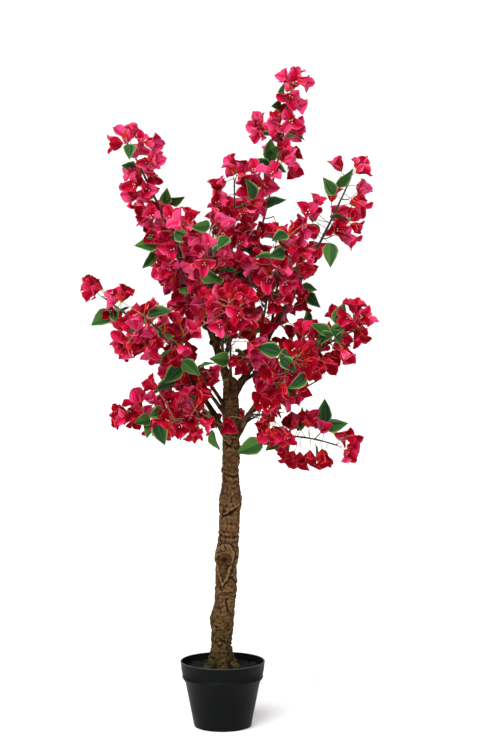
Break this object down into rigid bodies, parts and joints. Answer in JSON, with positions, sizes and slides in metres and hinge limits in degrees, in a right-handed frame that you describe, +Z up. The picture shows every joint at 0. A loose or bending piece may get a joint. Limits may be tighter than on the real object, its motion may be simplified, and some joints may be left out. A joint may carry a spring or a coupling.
{
  "type": "artificial bougainvillea tree in a pot",
  "caption": "Artificial bougainvillea tree: a moulded bark trunk and limbs with sprays of papery flowers and leaves, standing in a round plastic pot filled with gravel.",
  "frame": {"origin": "centre of the pot's flat underside", "axes": "+Z up, +X to the right and -Y to the front as the tree is usually seen"},
  "size_m": [0.5439, 0.47, 1.2022],
  "materials": {
    "pot": "matt black nursery pot",
    "gravel": "dark gravel over a cement filling",
    "bark": "moulded tan bark with dark cracks",
    "sprays": "crimson cloth bracts with green leaves on thin coated wire"
  },
  "bodies": {
    "root": {"pot": "pot", "fill": "gravel", "trunk": "bark", "limb_left_leader": "bark", "limb_right_leader": "bark", "limb_left": "bark", "limb_right": "bark", "limb_top": "bark", "limb_low_right": "bark", "limb_low_left": "bark", "limb_centre": "bark", "limb_centre_left": "bark", "limb_inner_left": "bark", "limb_inner_right": "bark", "limb_front_high": "bark", "limb_back_high": "bark", "limb_back_left_high": "bark", "limb_back_right_high": "bark", "limb_front": "bark", "limb_back": "bark", "limb_front_left": "bark", "limb_front_right": "bark", "limb_back_left": "bark", "limb_back_right": "bark", "limb_mid_right": "bark", "limb_low_front_left": "bark", "limb_low_front_right": "bark", "limb_low_back_left": "bark", "limb_low_back_right": "bark", "mass_left_leader": "sprays", "mass_right_leader": "sprays", "mass_left": "sprays", "mass_right": "sprays", "mass_top": "sprays", "mass_low_right": "sprays", "mass_low_left": "sprays", "mass_centre": "sprays", "mass_centre_left": "sprays", "mass_inner_left": "sprays", "mass_inner_right": "sprays", "mass_front_high": "sprays", "mass_back_high": "sprays", "mass_back_left_high": "sprays", "mass_back_right_high": "sprays", "mass_front": "sprays", "mass_back": "sprays", "mass_front_left": "sprays", "mass_front_right": "sprays", "mass_back_left": "sprays", "mass_back_right": "sprays", "mass_mid_right": "sprays", "mass_low_front_left": "sprays", "mass_low_front_right": "sprays", "mass_low_back_left": "sprays", "mass_low_back_right": "sprays"}
  },
  "joints": []
}
